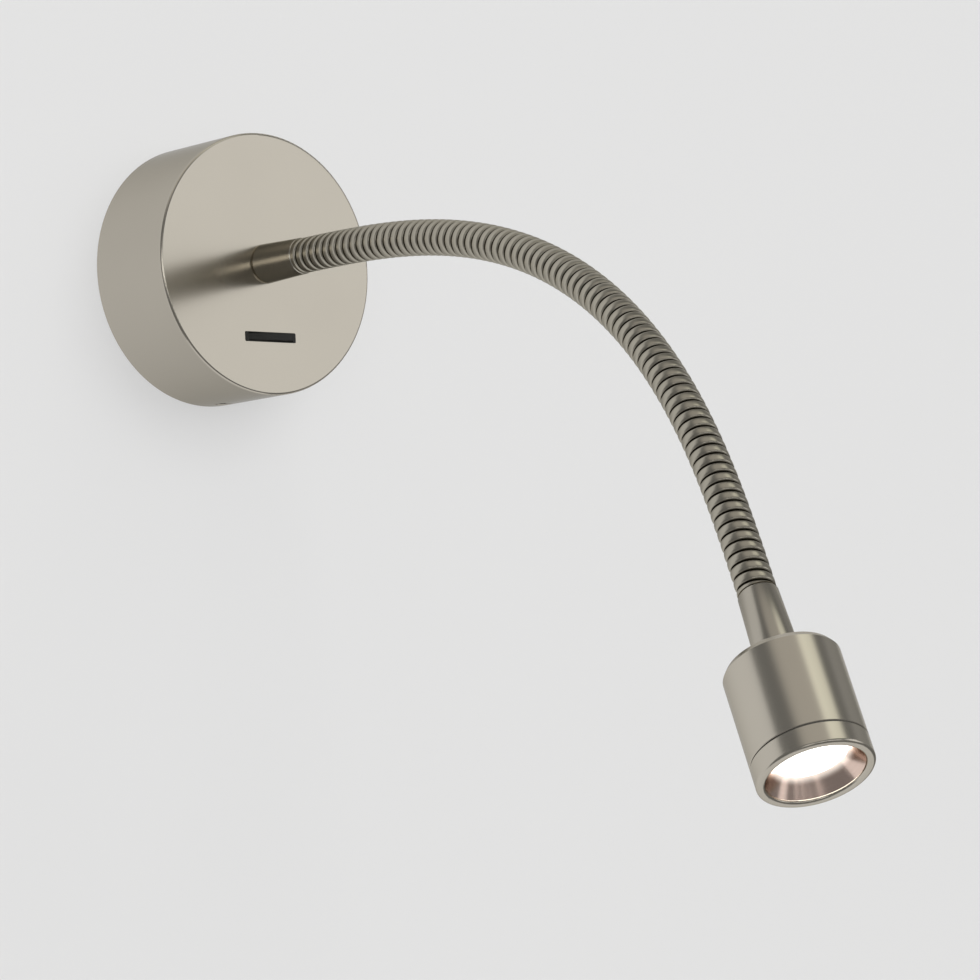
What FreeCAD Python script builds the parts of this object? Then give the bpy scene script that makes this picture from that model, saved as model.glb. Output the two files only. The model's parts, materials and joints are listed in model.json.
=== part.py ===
import FreeCAD, Part
import os
from math import cos, radians, sin, sqrt, tan
from FreeCAD import Matrix, Placement, Rotation, Vector

# A wall reading lamp: a round base on the wall, a gooseneck arm and a short round head.
# The origin is the middle of the base's wall face. The wall is the plane Y = 0, the lamp
# stands out of it along -Y, and +Z is up. All sizes are millimetres.

# ---- clearances ----------------------------------------------------------------------
FIT = 0.05              # round piece seated in a hole of the same body
SLIP = 0.15             # loose hole, or a flat piece in its pocket
RUNNING = 0.3           # between two faces that move past each other

# ---- base cover and mounting plate ---------------------------------------------------
BASE_R = 50.0
BASE_DEPTH = 40.0
COVER_WALL = 1.6
COVER_FACE = 2.0
COVER_EDGE = 1.0        # rounding where the face turns into the side
PLATE_THICK = 1.5
PLATE_GAP = 0.5         # between the plate's rim and the inside of the cover
TAB_WIDTH = 14.0
TAB_LENGTH = 15.0
WALL_SLOT_SPACING = 60.0
WALL_SLOT_WIDTH = 4.5
WALL_SLOT_LENGTH = 10.0
CABLE_HOLE_UP = 10.0    # height of the cable hole over the middle of the plate
CABLE_R = 4.0
GROMMET_WALL = 1.2
GROMMET_FLANGE = 1.2

# ---- fasteners in the base -----------------------------------------------------------
COVER_SCREW_R = 2.0
COVER_SCREW_HEAD_R = 3.4
COVER_SCREW_LENGTH = 7.0
SMALL_SCREW_R = 1.5
SMALL_HEAD_R = 2.8
SMALL_HEAD_HEIGHT = 1.8
EARTH_AT = (22.0, -20.0)

# ---- driver and terminal block -------------------------------------------------------
DRIVER_WIDTH = 40.0
DRIVER_HEIGHT = 20.0
DRIVER_DEPTH = 18.0
DRIVER_UP = 29.0
DRIVER_WALL = 1.5
DRIVER_EAR = 6.5
BLOCK_WIDTH = 22.0
BLOCK_HEIGHT = 13.0
BLOCK_DEPTH = 11.0
BLOCK_AT = (-17.0, -17.0)
BLOCK_POLES = 3

# ---- switch --------------------------------------------------------------------------
SWITCH_DOWN = 28.0      # middle of the switch below the middle of the face
FRAME_LENGTH = 24.1
FRAME_HEIGHT = 3.7
FRAME_PROUD = 0.3
SWITCH_BODY_LENGTH = 26.0
SWITCH_BODY_HEIGHT = 9.0
SWITCH_BODY_DEPTH = 13.0
ROCKER_LENGTH = 20.2
ROCKER_HEIGHT = 2.7
ROCKER_CROWN = 1.5      # middle of the rocker over the face when it is level
ROCKER_END = 0.6        # ends of the rocker over the face when it is level
ROCKER_BELOW = 2.2      # how far the rocker reaches behind its pin
ROCKER_PIN_R = 0.9
ROCKER_PIN_DEPTH = 3.0  # pin behind the face
ROCKER_PIN_REACH = 1.7  # each pin's length
ROCKER_TILT = 5.0       # degrees each way from level
BLADE_WIDTH = 4.8
BLADE_THICK = 0.8
BLADE_LENGTH = 7.0
BLADE_SPACING = 12.0

# ---- threaded nipples that clamp both ferrules ---------------------------------------
NIPPLE_R = 4.9
NIPPLE_WALL = 1.5
NIPPLE_IN_FERRULE = 10.0
NIPPLE_BEHIND = 9.0     # beyond the wall that is clamped
WASHER_RIM = 3.7        # washer's width beyond the nipple
WASHER_THICK = 1.2
NUT_WALL = 2.1          # thinnest wall of the nut round the nipple
NUT_THICK = 3.0

# ---- gooseneck -----------------------------------------------------------------------
# The wound hose is divided into rigid sections that bend on each other at round seats.
# A section is as long as six turns: five show as ridges and the sixth is the seat.
HOSE_R = 6.6
TURN_PITCH = 3.94
SECTION_TURNS = 6
STUB_TURNS = 4.5        # from a ferrule to the first or last seat
JOINTS = 13
GROOVE_WIDTH = 1.0
GROOVE_DEPTH = 0.6
SOCKET_WALL = 0.8       # left between a groove and the socket inside
SEAT_LIP = 2.2          # how far the socket reaches past the middle of the seat
NECK_WALL = 0.9         # between the round end and the ridges
SEAT_BEND = 19.0        # degrees that the seat leaves free each way
HOSE_CHAMFER = 0.3
SPIGOT_LENGTH = 9.0
ARM_BEND = 61.1         # whole bend of the arm at rest, degrees
ARM_BEND_RISE = 0.86    # how slowly the bend sets in at the base; 0 is at once
ARM_BEND_FALL = 0.79    # how slowly it dies away at the head; 0 is at once
ARM_LEAN = -11.8        # turn of the bending plane out of the upright, degrees

# ---- ferrules ------------------------------------------------------------------------
BASE_FERRULE_LENGTH = 22.0
BASE_FERRULE_R = 7.5
HEAD_FERRULE_LENGTH = 28.5
HEAD_FERRULE_R = 7.6
FERRULE_STEP = 0.2      # the ferrule's tip stands this far outside the hose
FERRULE_EDGE = 0.3

# ---- lead ----------------------------------------------------------------------------
LEAD_R = 2.0
LEAD_BORE_R = 2.4
LEAD_END_GAP = 0.8      # from the end of a lead piece to the middle of the seat
LEAD_BEND_R = 9.0
LEAD_DRIVER_OUT = 12.0  # distance of the driver's outlet from the wall

# ---- head ----------------------------------------------------------------------------
HEAD_R = 19.5
HOUSING_LENGTH = 33.9
HOUSING_TOP = 3.0
HOUSING_WALL = 1.5
HOUSING_STEP = 1.5      # the shoulder that the heat sink seats on
HOUSING_EDGE = 1.2      # width of the bevel round the top
HOUSING_EDGE_LENGTH = 1.8
SINK_AT = 20.0          # heat sink's seat, below the top of the housing
SINK_THICK = 5.0
SINK_FINS = 16
FIN_THICK = 1.2
FIN_LENGTH = 11.0
FIN_NUT_GAP = 1.5       # room round the nut inside the fins
PAD_THICK = 0.5
BOARD_GAP = 0.6         # between the board's rim and the lens holder
BOARD_THICK = 1.6
BOARD_SCREW_INSET = 4.0
BOARD_SCREW_R = 1.2
BOARD_HEAD_R = 2.2
BOARD_HEAD_HEIGHT = 1.4
BOARD_SCREW_LENGTH = 4.5
EMITTER_R = 7.0
EMITTER_THICK = 0.8
EMITTER_DOME = 0.9
BEZEL_GAP = 0.4         # dark line between housing and bezel, held open by the seal
BEZEL_LENGTH = 7.6
BEZEL_RIM = 3.1         # width of the ring seen from the front
BEZEL_LIP = 1.2         # thickness of the lip that holds the reflector
BEZEL_ROUND = 1.1
BEZEL_WALL = 1.0
SEAL_INSET = 0.5
REFLECTOR_TAPER = 4.0   # how much narrower the cone is at the lens
REFLECTOR_DEPTH = 6.0
REFLECTOR_THICK = 0.8
LENS_THICK = 3.0
HOLDER_WALL = 1.4

# ---- worked out from the sizes above -------------------------------------------------
UP = Vector(0, 0, 1)
SECTION_LENGTH = SECTION_TURNS * TURN_PITCH
STUB_LENGTH = STUB_TURNS * TURN_PITCH
FERRULE_BORE_R = NIPPLE_R + FIT
FERRULE_TIP_R = HOSE_R + FERRULE_STEP
SPIGOT_R = NIPPLE_R
NIPPLE_BORE_R = NIPPLE_R - NIPPLE_WALL
WASHER_R = NIPPLE_R + WASHER_RIM
NUT_FLATS = 2 * (NIPPLE_R + NUT_WALL)
NUT_CORNER_R = NUT_FLATS / sqrt(3)
COVER_INNER_R = BASE_R - COVER_WALL
INSIDE_FACE = BASE_DEPTH - COVER_FACE
PLATE_R = COVER_INNER_R - PLATE_GAP
SOCKET_R = HOSE_R - GROOVE_DEPTH - SOCKET_WALL
SEAT_R = SOCKET_R - RUNNING
NECK_R = LEAD_BORE_R + NECK_WALL
SEAT_SHOULDER = ((SEAT_LIP + RUNNING + HOSE_R * sin(radians(SEAT_BEND)))
                 / cos(radians(SEAT_BEND)))
ARM_PLANE_X = Vector(cos(radians(ARM_LEAN)), 0, sin(radians(ARM_LEAN)))
ARM_PLANE_DOWN = Vector(sin(radians(ARM_LEAN)), 0, -cos(radians(ARM_LEAN)))
OUT = Vector(0, -1, 0)
HOUSING_INNER_R = HEAD_R - HOUSING_WALL
SINK_TOP = SINK_AT + SINK_THICK
BOARD_AT = SINK_TOP + PAD_THICK
BEZEL_AT = HOUSING_LENGTH + BEZEL_GAP
HEAD_LENGTH = BEZEL_AT + BEZEL_LENGTH
BEZEL_SPIGOT_R = HOUSING_INNER_R - FIT
BEZEL_BORE_R = BEZEL_SPIGOT_R - BEZEL_WALL
BEZEL_OPENING_R = HEAD_R - BEZEL_RIM
REFLECTOR_R = BEZEL_OPENING_R - REFLECTOR_TAPER
BOARD_R = BEZEL_BORE_R - FIT - HOLDER_WALL - BOARD_GAP
BOARD_SCREW_AT = BOARD_R - BOARD_SCREW_INSET
FIN_INNER_R = NUT_CORNER_R + FIN_NUT_GAP
REFLECTOR_FRONT = HEAD_LENGTH - BEZEL_LIP
LENS_FRONT = REFLECTOR_FRONT - REFLECTOR_DEPTH
LENS_BACK = LENS_FRONT - LENS_THICK


# ---- drawing helpers -----------------------------------------------------------------
def turned(*outline):
    """Revolve an outline round the Z axis. A point is (radius, height); a pair of
    points is an arc through the first to the second."""
    def at(point):
        return Vector(point[0], 0, point[1])

    edges = []
    start = here = at(outline[0])
    for step in outline[1:] + (outline[0],):
        if isinstance(step[0], tuple):
            end = at(step[1])
            edges.append(Part.Arc(here, at(step[0]), end).toShape())
        else:
            end = at(step)
            if (end - here).Length < 1e-7:
                continue
            edges.append(Part.LineSegment(here, end).toShape())
        here = end
    if (here - start).Length > 1e-7:
        edges.append(Part.LineSegment(here, start).toShape())
    return Part.Face(Part.Wire(edges)).revolve(Vector(), UP, 360)


def rod(radius, length, x=0.0, y=0.0, z=0.0, along=UP):
    """Round bar from (x, y, z), length long."""
    return Part.makeCylinder(radius, length, Vector(x, y, z), along)


def tube(outer, inner, start, end):
    """Straight ring between two heights."""
    return turned((inner, start), (outer, start), (outer, end), (inner, end))


def block(width, height, depth, x=0.0, y=0.0, z=0.0, rounding=0.0):
    """Box centred on x and y that starts at z, with its upright edges rounded."""
    box = Part.makeBox(width, height, depth, Vector(x - width / 2, y - height / 2, z))
    if rounding:
        upright = [e for e in box.Edges if abs(e.tangentAt(e.FirstParameter).z) > 0.9]
        box = box.makeFillet(rounding, upright)
    return box


def slot(length, width, depth, x=0.0, y=0.0, z=0.0):
    """Round-ended bar along X, for cutting slots."""
    return block(length, width, depth, x, y, z, width / 2 - 0.001)


def hexagon(flats, height, z=0.0):
    """Hexagonal prism on the Z axis."""
    corner = flats / sqrt(3)
    points = [Vector(corner * cos(radians(60 * i)), corner * sin(radians(60 * i)), z)
              for i in range(7)]
    return Part.Face(Part.makePolygon(points)).extrude(Vector(0, 0, height))


def screw(radius, length, head_radius, head_height, x=0.0, y=0.0, z=0.0):
    """Pan-head screw whose head seats at z, pointing down, with a cross recess."""
    corner = head_height * 0.45
    shape = turned((0, -length), (radius - 0.3, -length), (radius, 0.3 - length),
                   (radius, 0), (head_radius, 0), (head_radius, head_height - corner),
                   ((head_radius * 0.93, head_height - corner * 0.25),
                    (head_radius * 0.72, head_height)), (0, head_height))
    for turn in (0, 90):
        arm = block(head_radius, head_radius * 0.22, head_height, 0, 0, head_height * 0.45)
        arm.rotate(Vector(), UP, turn)
        shape = shape.cut(arm)
    shape.translate(Vector(x, y, z))
    return shape


def group(solids):
    """Separate solids that share one node."""
    return Part.makeCompound(solids)


# ---- where things lie ----------------------------------------------------------------
def frame(origin, x_axis, z_axis):
    """Placement whose local X and Z lie along the two given directions."""
    y_axis = z_axis.cross(x_axis)
    turn = Matrix(x_axis.x, y_axis.x, z_axis.x, 0, x_axis.y, y_axis.y, z_axis.y, 0,
                  x_axis.z, y_axis.z, z_axis.z, 0, 0, 0, 0, 1)
    return Placement(origin, Rotation(Placement(turn).Rotation))


def arm_direction(angle):
    """Direction of the arm once it has bent down by the angle, in degrees."""
    return OUT * cos(radians(angle)) + ARM_PLANE_DOWN * sin(radians(angle))


def arm_layout():
    """Angle of each section and the point of each seat, from the base to the head."""
    shares = []
    for k in range(JOINTS):
        along = (k + 0.5) / JOINTS
        shares.append(along ** ARM_BEND_RISE * (1 - along) ** ARM_BEND_FALL)
    bends = [ARM_BEND * share / sum(shares) for share in shares]
    angles = [0.0]
    seats = [OUT * (BASE_DEPTH + BASE_FERRULE_LENGTH + STUB_LENGTH)]
    for k, bend in enumerate(bends):
        angles.append(angles[-1] + bend)
        reach = SECTION_LENGTH if k < JOINTS - 1 else STUB_LENGTH
        seats.append(seats[-1] + arm_direction(angles[-1]) * reach)
    return angles, seats, bends


ANGLES, SEATS, BENDS = arm_layout()
BASE_FRAME = frame(Vector(), Vector(1, 0, 0), OUT)
ARM_END = SEATS.pop()
HEAD_AXIS = arm_direction(ANGLES[-1])
HEAD_TOP = ARM_END + HEAD_AXIS * HEAD_FERRULE_LENGTH
HEAD_FRAME = frame(HEAD_TOP, ARM_PLANE_X, HEAD_AXIS)


# ---- base ----------------------------------------------------------------------------
# Base pieces are drawn with Z out of the wall and Y up, then laid in BASE_FRAME.
def cover_screw_height():
    """Distance of the cover screws from the wall."""
    return TAB_LENGTH * 0.6


def tab_face():
    """Distance of a tab's outer face from the axis of the base."""
    return sqrt(PLATE_R ** 2 - (TAB_WIDTH / 2) ** 2)


def mounting_plate():
    disc = rod(PLATE_R, PLATE_THICK)
    face = tab_face()
    flat = block(TAB_WIDTH + 4, 2 * (BASE_R - face), PLATE_THICK, 0, BASE_R)
    plate = disc
    for turn in (0, 180):
        notch = flat.copy()
        notch.rotate(Vector(), UP, turn)
        bend = PLATE_THICK * 2
        tab = block(TAB_WIDTH, PLATE_THICK, TAB_LENGTH, 0, face - PLATE_THICK / 2)
        foot = block(TAB_WIDTH, bend, bend, 0, face - bend / 2)
        inside = rod(bend - PLATE_THICK, TAB_WIDTH, -TAB_WIDTH / 2, face - bend, bend,
                     Vector(1, 0, 0))
        outside = block(TAB_WIDTH, bend, bend, 0, face - bend / 2)
        rounded = rod(bend, TAB_WIDTH, -TAB_WIDTH / 2, face - bend, bend, Vector(1, 0, 0))
        corner = outside.cut(rounded)
        hole = rod(COVER_SCREW_R + FIT, bend, 0, face - bend / 2 - 1, cover_screw_height(),
                   Vector(0, 1, 0))
        tab = tab.fuse(foot.cut(inside)).cut(corner).cut(hole)
        tab.rotate(Vector(), UP, turn)
        corner.rotate(Vector(), UP, turn)
        plate = plate.cut(notch).cut(corner).fuse(tab)
    for side in (-1, 1):
        plate = plate.cut(slot(WALL_SLOT_LENGTH, WALL_SLOT_WIDTH, PLATE_THICK,
                               side * WALL_SLOT_SPACING / 2))
    plate = plate.cut(rod(CABLE_R + GROMMET_WALL + FIT, PLATE_THICK, 0, CABLE_HOLE_UP))
    plate = plate.cut(rod(SMALL_SCREW_R + FIT, PLATE_THICK, *EARTH_AT))
    for x, y in driver_screw_points():
        plate = plate.cut(rod(SMALL_SCREW_R + FIT, PLATE_THICK, x, y))
    return plate.removeSplitter()


def cable_grommet():
    """Rubber bush: a flange on the inside and a ring through the plate."""
    ring_r = CABLE_R + GROMMET_WALL
    lip_r = ring_r + GROMMET_WALL
    top = PLATE_THICK + GROMMET_FLANGE * 2
    bush = turned((CABLE_R, 0), (ring_r, 0), (ring_r, PLATE_THICK), (lip_r, PLATE_THICK),
                  (lip_r, top - 1), (ring_r, top), (CABLE_R, top))
    bush.translate(Vector(0, CABLE_HOLE_UP, 0))
    return bush


def earth_screw():
    return screw(SMALL_SCREW_R, PLATE_THICK, SMALL_HEAD_R, SMALL_HEAD_HEIGHT, *EARTH_AT,
                 PLATE_THICK)


def terminal_block():
    """Moulded strip with a wire hole and a clamp screw for each pole."""
    strip = block(BLOCK_WIDTH, BLOCK_HEIGHT * 0.55, BLOCK_DEPTH, 0, 0, 0, 0.6)
    pitch = BLOCK_WIDTH / BLOCK_POLES
    for pole in range(BLOCK_POLES):
        x = (pole - (BLOCK_POLES - 1) / 2) * pitch
        barrel = rod(pitch * 0.42, BLOCK_HEIGHT, x, -BLOCK_HEIGHT / 2, BLOCK_DEPTH * 0.42,
                     Vector(0, 1, 0))
        strip = strip.fuse(barrel)
    for pole in range(BLOCK_POLES):
        x = (pole - (BLOCK_POLES - 1) / 2) * pitch
        strip = strip.cut(rod(pitch * 0.24, BLOCK_HEIGHT, x, -BLOCK_HEIGHT / 2,
                              BLOCK_DEPTH * 0.42, Vector(0, 1, 0)))
        strip = strip.cut(rod(SMALL_SCREW_R + FIT, BLOCK_DEPTH, x, 0, BLOCK_DEPTH * 0.42))
    strip.translate(Vector(*BLOCK_AT, PLATE_THICK))
    return strip


def terminal_screws():
    pitch = BLOCK_WIDTH / BLOCK_POLES
    length = BLOCK_DEPTH * 0.42
    return group([rod(SMALL_SCREW_R, length,
                      BLOCK_AT[0] + (pole - (BLOCK_POLES - 1) / 2) * pitch, BLOCK_AT[1],
                      PLATE_THICK + BLOCK_DEPTH - length - 0.5)
                  for pole in range(BLOCK_POLES)])


def driver_screw_points():
    x = DRIVER_WIDTH / 2 + DRIVER_EAR * 0.45
    y = DRIVER_UP - DRIVER_HEIGHT / 2 + DRIVER_EAR / 2
    return [(-x, y), (x, y)]


def driver_case():
    """Moulded tray with two screw ears, open towards the room."""
    tray = block(DRIVER_WIDTH, DRIVER_HEIGHT, DRIVER_DEPTH, 0, DRIVER_UP, 0, 1.5)
    tray = tray.cut(block(DRIVER_WIDTH - 2 * DRIVER_WALL, DRIVER_HEIGHT - 2 * DRIVER_WALL,
                          DRIVER_DEPTH, 0, DRIVER_UP, DRIVER_WALL, 1.0))
    for x, y in driver_screw_points():
        side = 1 if x > 0 else -1
        reach = DRIVER_EAR * 0.9
        ear = block(reach, DRIVER_EAR, 2.0, x - side * (DRIVER_EAR * 0.45 - reach / 2), y)
        tray = tray.fuse(ear).cut(rod(SMALL_SCREW_R + SLIP, 2.0, x, y))
    outlet = rod(LEAD_R + SLIP, DRIVER_WALL * 2, 0, DRIVER_UP - DRIVER_HEIGHT / 2 - 0.5,
                 LEAD_DRIVER_OUT - PLATE_THICK, Vector(0, 1, 0))
    tray = tray.cut(outlet)
    tray.translate(Vector(0, 0, PLATE_THICK))
    return tray


def driver_lid():
    """Plain lid with a rim that drops inside the tray."""
    top = PLATE_THICK + DRIVER_DEPTH
    lid = block(DRIVER_WIDTH, DRIVER_HEIGHT, 1.2, 0, DRIVER_UP, top, 1.5)
    inset = 2 * (DRIVER_WALL + SLIP)
    rim = block(DRIVER_WIDTH - inset, DRIVER_HEIGHT - inset, 1.5, 0, DRIVER_UP, top - 1.5, 1.0)
    hollow = block(DRIVER_WIDTH - inset - 2, DRIVER_HEIGHT - inset - 2, 1.5, 0, DRIVER_UP,
                   top - 1.5)
    return lid.fuse(rim.cut(hollow)).removeSplitter()


def driver_screws():
    ear_top = PLATE_THICK + 2.0
    return group([screw(SMALL_SCREW_R, ear_top, SMALL_HEAD_R, SMALL_HEAD_HEIGHT, x, y, ear_top)
                  for x, y in driver_screw_points()])


def base_cover():
    """Deep turned cup with holes for the ferrule, the switch and the two screws."""
    inner_edge = COVER_EDGE * 0.6
    bend = COVER_EDGE * (1 - sqrt(0.5))
    inner_bend = inner_edge * (1 - sqrt(0.5))
    cup = turned((COVER_INNER_R, 0), (BASE_R, 0), (BASE_R, BASE_DEPTH - COVER_EDGE),
                 ((BASE_R - bend, BASE_DEPTH - bend), (BASE_R - COVER_EDGE, BASE_DEPTH)),
                 (NIPPLE_R + SLIP, BASE_DEPTH), (NIPPLE_R + SLIP, INSIDE_FACE),
                 (COVER_INNER_R - inner_edge, INSIDE_FACE),
                 ((COVER_INNER_R - inner_bend, INSIDE_FACE - inner_bend),
                  (COVER_INNER_R, INSIDE_FACE - inner_edge)))
    cup = cup.cut(block(FRAME_LENGTH + 2 * FIT, FRAME_HEIGHT + 2 * FIT, COVER_FACE,
                        0, -SWITCH_DOWN, INSIDE_FACE, 0.5))
    for side in (-1, 1):
        cup = cup.cut(rod(COVER_SCREW_R + SLIP, BASE_R, 0, 0, cover_screw_height(),
                          Vector(0, side, 0)))
        head = turned((0, 0), (COVER_SCREW_R + SLIP, 0),
                      (COVER_SCREW_HEAD_R + SLIP, COVER_WALL), (0, COVER_WALL))
        head.rotate(Vector(), Vector(1, 0, 0), -90 * side)
        head.translate(Vector(0, side * COVER_INNER_R, cover_screw_height()))
        cup = cup.cut(head)
    return cup


def cover_screws():
    """Countersunk screws through the cover's side into the tabs."""
    screws = []
    for side in (-1, 1):
        body = turned((0, COVER_WALL - COVER_SCREW_LENGTH),
                      (COVER_SCREW_R, COVER_WALL - COVER_SCREW_LENGTH), (COVER_SCREW_R, 0),
                      (COVER_SCREW_HEAD_R - FIT, COVER_WALL - 0.2), (0, COVER_WALL - 0.2))
        for turn in (0, 90):
            arm = block(COVER_SCREW_HEAD_R, 0.8, 1.0, 0, 0, COVER_WALL - 1.0)
            arm.rotate(Vector(), UP, turn)
            body = body.cut(arm)
        body.rotate(Vector(), Vector(1, 0, 0), -90 * side)
        body.translate(Vector(0, side * COVER_INNER_R, cover_screw_height()))
        screws.append(body)
    return group(screws)


# ---- switch --------------------------------------------------------------------------
def switch_pin_height():
    return BASE_DEPTH - ROCKER_PIN_DEPTH


def rocker_well():
    """The hollow that the rocker tips in: its end play covers the whole tilt."""
    tilt = radians(ROCKER_TILT)
    swing = (ROCKER_PIN_DEPTH + ROCKER_CROWN) * sin(tilt)
    half = ROCKER_LENGTH / 2 + swing + RUNNING / 2
    floor = ROCKER_PIN_DEPTH + ROCKER_BELOW + half * sin(tilt) + RUNNING
    return 2 * half, ROCKER_HEIGHT + 2 * SLIP, floor


def switch_housing():
    """Moulded body behind the face, with the slim frame that fills the slot."""
    body = block(SWITCH_BODY_LENGTH, SWITCH_BODY_HEIGHT, SWITCH_BODY_DEPTH,
                 0, 0, INSIDE_FACE - SWITCH_BODY_DEPTH, 1.0)
    nose = block(FRAME_LENGTH, FRAME_HEIGHT, COVER_FACE + FRAME_PROUD, 0, 0, INSIDE_FACE, 0.45)
    rim = [e for e in nose.Edges if abs(e.BoundBox.ZMin - BASE_DEPTH - FRAME_PROUD) < 1e-6]
    nose = nose.makeFillet(FRAME_PROUD * 0.6, rim)
    length, height, floor = rocker_well()
    well = block(length, height, floor + FRAME_PROUD, 0, 0, BASE_DEPTH - floor)
    reach = ROCKER_PIN_REACH + RUNNING
    pins = rod(ROCKER_PIN_R + SLIP, ROCKER_HEIGHT + 2 * reach, 0, -ROCKER_HEIGHT / 2 - reach,
               switch_pin_height(), Vector(0, 1, 0))
    body = body.fuse(nose).cut(well).cut(pins)
    back = INSIDE_FACE - SWITCH_BODY_DEPTH
    for side in (-1, 1):
        body = body.cut(block(BLADE_THICK + 2 * FIT, BLADE_WIDTH + 2 * FIT, 2.0,
                              side * BLADE_SPACING / 2, 0, back))
    body.translate(Vector(0, -SWITCH_DOWN, 0))
    return body.removeSplitter()


def switch_rocker():
    """Long curved key on two pins, tipped to the position it has when lit."""
    half = ROCKER_LENGTH / 2
    pin = ROCKER_PIN_DEPTH
    outline = [Vector(-half, 0, -ROCKER_BELOW), Vector(-half, 0, pin + ROCKER_END),
               Vector(half, 0, pin + ROCKER_END), Vector(half, 0, -ROCKER_BELOW)]
    crown = Part.Arc(outline[1], Vector(0, 0, pin + ROCKER_CROWN), outline[2]).toShape()
    sides = [Part.LineSegment(outline[a], outline[b]).toShape()
             for a, b in ((0, 1), (2, 3), (3, 0))]
    wire = Part.Wire([sides[0], crown, sides[1], sides[2]])
    key = Part.Face(wire).extrude(Vector(0, ROCKER_HEIGHT, 0))
    key.translate(Vector(0, -ROCKER_HEIGHT / 2, 0))
    soft = [e for e in key.Edges if e.BoundBox.ZMin > 0.5]
    key = key.makeFillet(0.25, soft)
    pins = rod(ROCKER_PIN_R, ROCKER_HEIGHT + 2 * ROCKER_PIN_REACH, 0,
               -ROCKER_HEIGHT / 2 - ROCKER_PIN_REACH, 0, Vector(0, 1, 0))
    key = key.fuse(pins)
    key.rotate(Vector(), Vector(0, 1, 0), -ROCKER_TILT)
    key.translate(Vector(0, -SWITCH_DOWN, switch_pin_height()))
    return key


def switch_blades():
    back = INSIDE_FACE - SWITCH_BODY_DEPTH
    blades = []
    for side in (-1, 1):
        blade = block(BLADE_THICK, BLADE_WIDTH, BLADE_LENGTH + 2.0, side * BLADE_SPACING / 2,
                      -SWITCH_DOWN, back - BLADE_LENGTH)
        hole = rod(0.9, 2 * BLADE_THICK, side * BLADE_SPACING / 2 - BLADE_THICK, -SWITCH_DOWN,
                   back - BLADE_LENGTH + 2.4, Vector(1, 0, 0))
        blades.append(blade.cut(hole))
    return group(blades)


# ---- ferrules and what clamps them ---------------------------------------------------
def ferrule(length, foot_radius):
    """Turned cone from its foot at height 0 to the arm, bored for nipple and spigot."""
    slope = (foot_radius - FERRULE_TIP_R) / length
    edge = FERRULE_EDGE
    return turned((FERRULE_BORE_R, 0), (foot_radius - edge, 0), (foot_radius, edge),
                  (FERRULE_TIP_R + slope * edge, length - edge),
                  (FERRULE_TIP_R - edge, length), (FERRULE_BORE_R, length))


def nipple(clamped):
    """Threaded tube from inside the ferrule to beyond the clamped wall."""
    end = -clamped - NIPPLE_BEHIND
    return tube(NIPPLE_R, NIPPLE_BORE_R, end, NIPPLE_IN_FERRULE)


def washer(clamped):
    return tube(WASHER_R, NIPPLE_R + SLIP, -clamped - WASHER_THICK, -clamped)


def nut(clamped):
    start = -clamped - WASHER_THICK - NUT_THICK
    shape = hexagon(NUT_FLATS, NUT_THICK, start).cut(rod(NIPPLE_R + FIT, NUT_THICK, z=start))
    dome = turned((0, start), (NUT_CORNER_R - 0.7, start), (NUT_CORNER_R, start + 0.5),
                  (NUT_CORNER_R, start + NUT_THICK), (0, start + NUT_THICK))
    return shape.common(dome)


# ---- gooseneck sections --------------------------------------------------------------
def ridged_side(start, end):
    """Outer side of the hose between two heights: whole turns with grooves between."""
    turns = max(1, round((end - start) / TURN_PITCH))
    step = (end - start + GROOVE_WIDTH) / turns
    side = [(HOSE_R - HOSE_CHAMFER, start), (HOSE_R, start + HOSE_CHAMFER)]
    for turn in range(1, turns):
        groove = start + turn * step - GROOVE_WIDTH
        side += [(HOSE_R, groove), (HOSE_R - GROOVE_DEPTH, groove + GROOVE_WIDTH / 2),
                 (HOSE_R, groove + GROOVE_WIDTH)]
    return side + [(HOSE_R, end - HOSE_CHAMFER), (HOSE_R - HOSE_CHAMFER, end)]


def seat_ball():
    """Round end that sits in the next section's socket, with its middle at height 0.
    Its mouth flares so that the lead stays free while the seat bends."""
    flare = tan(radians(SEAT_BEND + 2))
    square = 1 + flare ** 2
    half = LEAD_BORE_R * flare
    depth = (sqrt(half ** 2 + square * (SEAT_R ** 2 - LEAD_BORE_R ** 2)) - half) / square
    neck_at = sqrt(SEAT_R ** 2 - NECK_R ** 2)
    return [(LEAD_BORE_R, 0), (LEAD_BORE_R + flare * depth, -depth),
            ((SEAT_R, 0), (NECK_R, neck_at)), (NECK_R, SEAT_SHOULDER)]


def seat_socket(middle):
    """Hollow that holds the round end of the next section."""
    lip_r = sqrt(SOCKET_R ** 2 - SEAT_LIP ** 2)
    floor = middle - sqrt(SOCKET_R ** 2 - LEAD_BORE_R ** 2)
    return [(lip_r, middle + SEAT_LIP), ((SOCKET_R, middle), (LEAD_BORE_R, floor))]


def base_section():
    """From the spigot in the base ferrule to the first socket; height 0 is the ferrule."""
    return turned((LEAD_BORE_R, -SPIGOT_LENGTH), (SPIGOT_R, -SPIGOT_LENGTH), (SPIGOT_R, 0),
                  *ridged_side(0, STUB_LENGTH + SEAT_LIP), *seat_socket(STUB_LENGTH))


def middle_section():
    """From a round end at height 0 to the next socket."""
    return turned(*seat_ball(), *ridged_side(SEAT_SHOULDER, SECTION_LENGTH + SEAT_LIP),
                  *seat_socket(SECTION_LENGTH))


def head_section():
    """From the last round end at height 0 to the spigot in the head ferrule."""
    return turned(*seat_ball(), *ridged_side(SEAT_SHOULDER, STUB_LENGTH),
                  (SPIGOT_R, STUB_LENGTH), (SPIGOT_R, STUB_LENGTH + SPIGOT_LENGTH),
                  (LEAD_BORE_R, STUB_LENGTH + SPIGOT_LENGTH))


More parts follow.
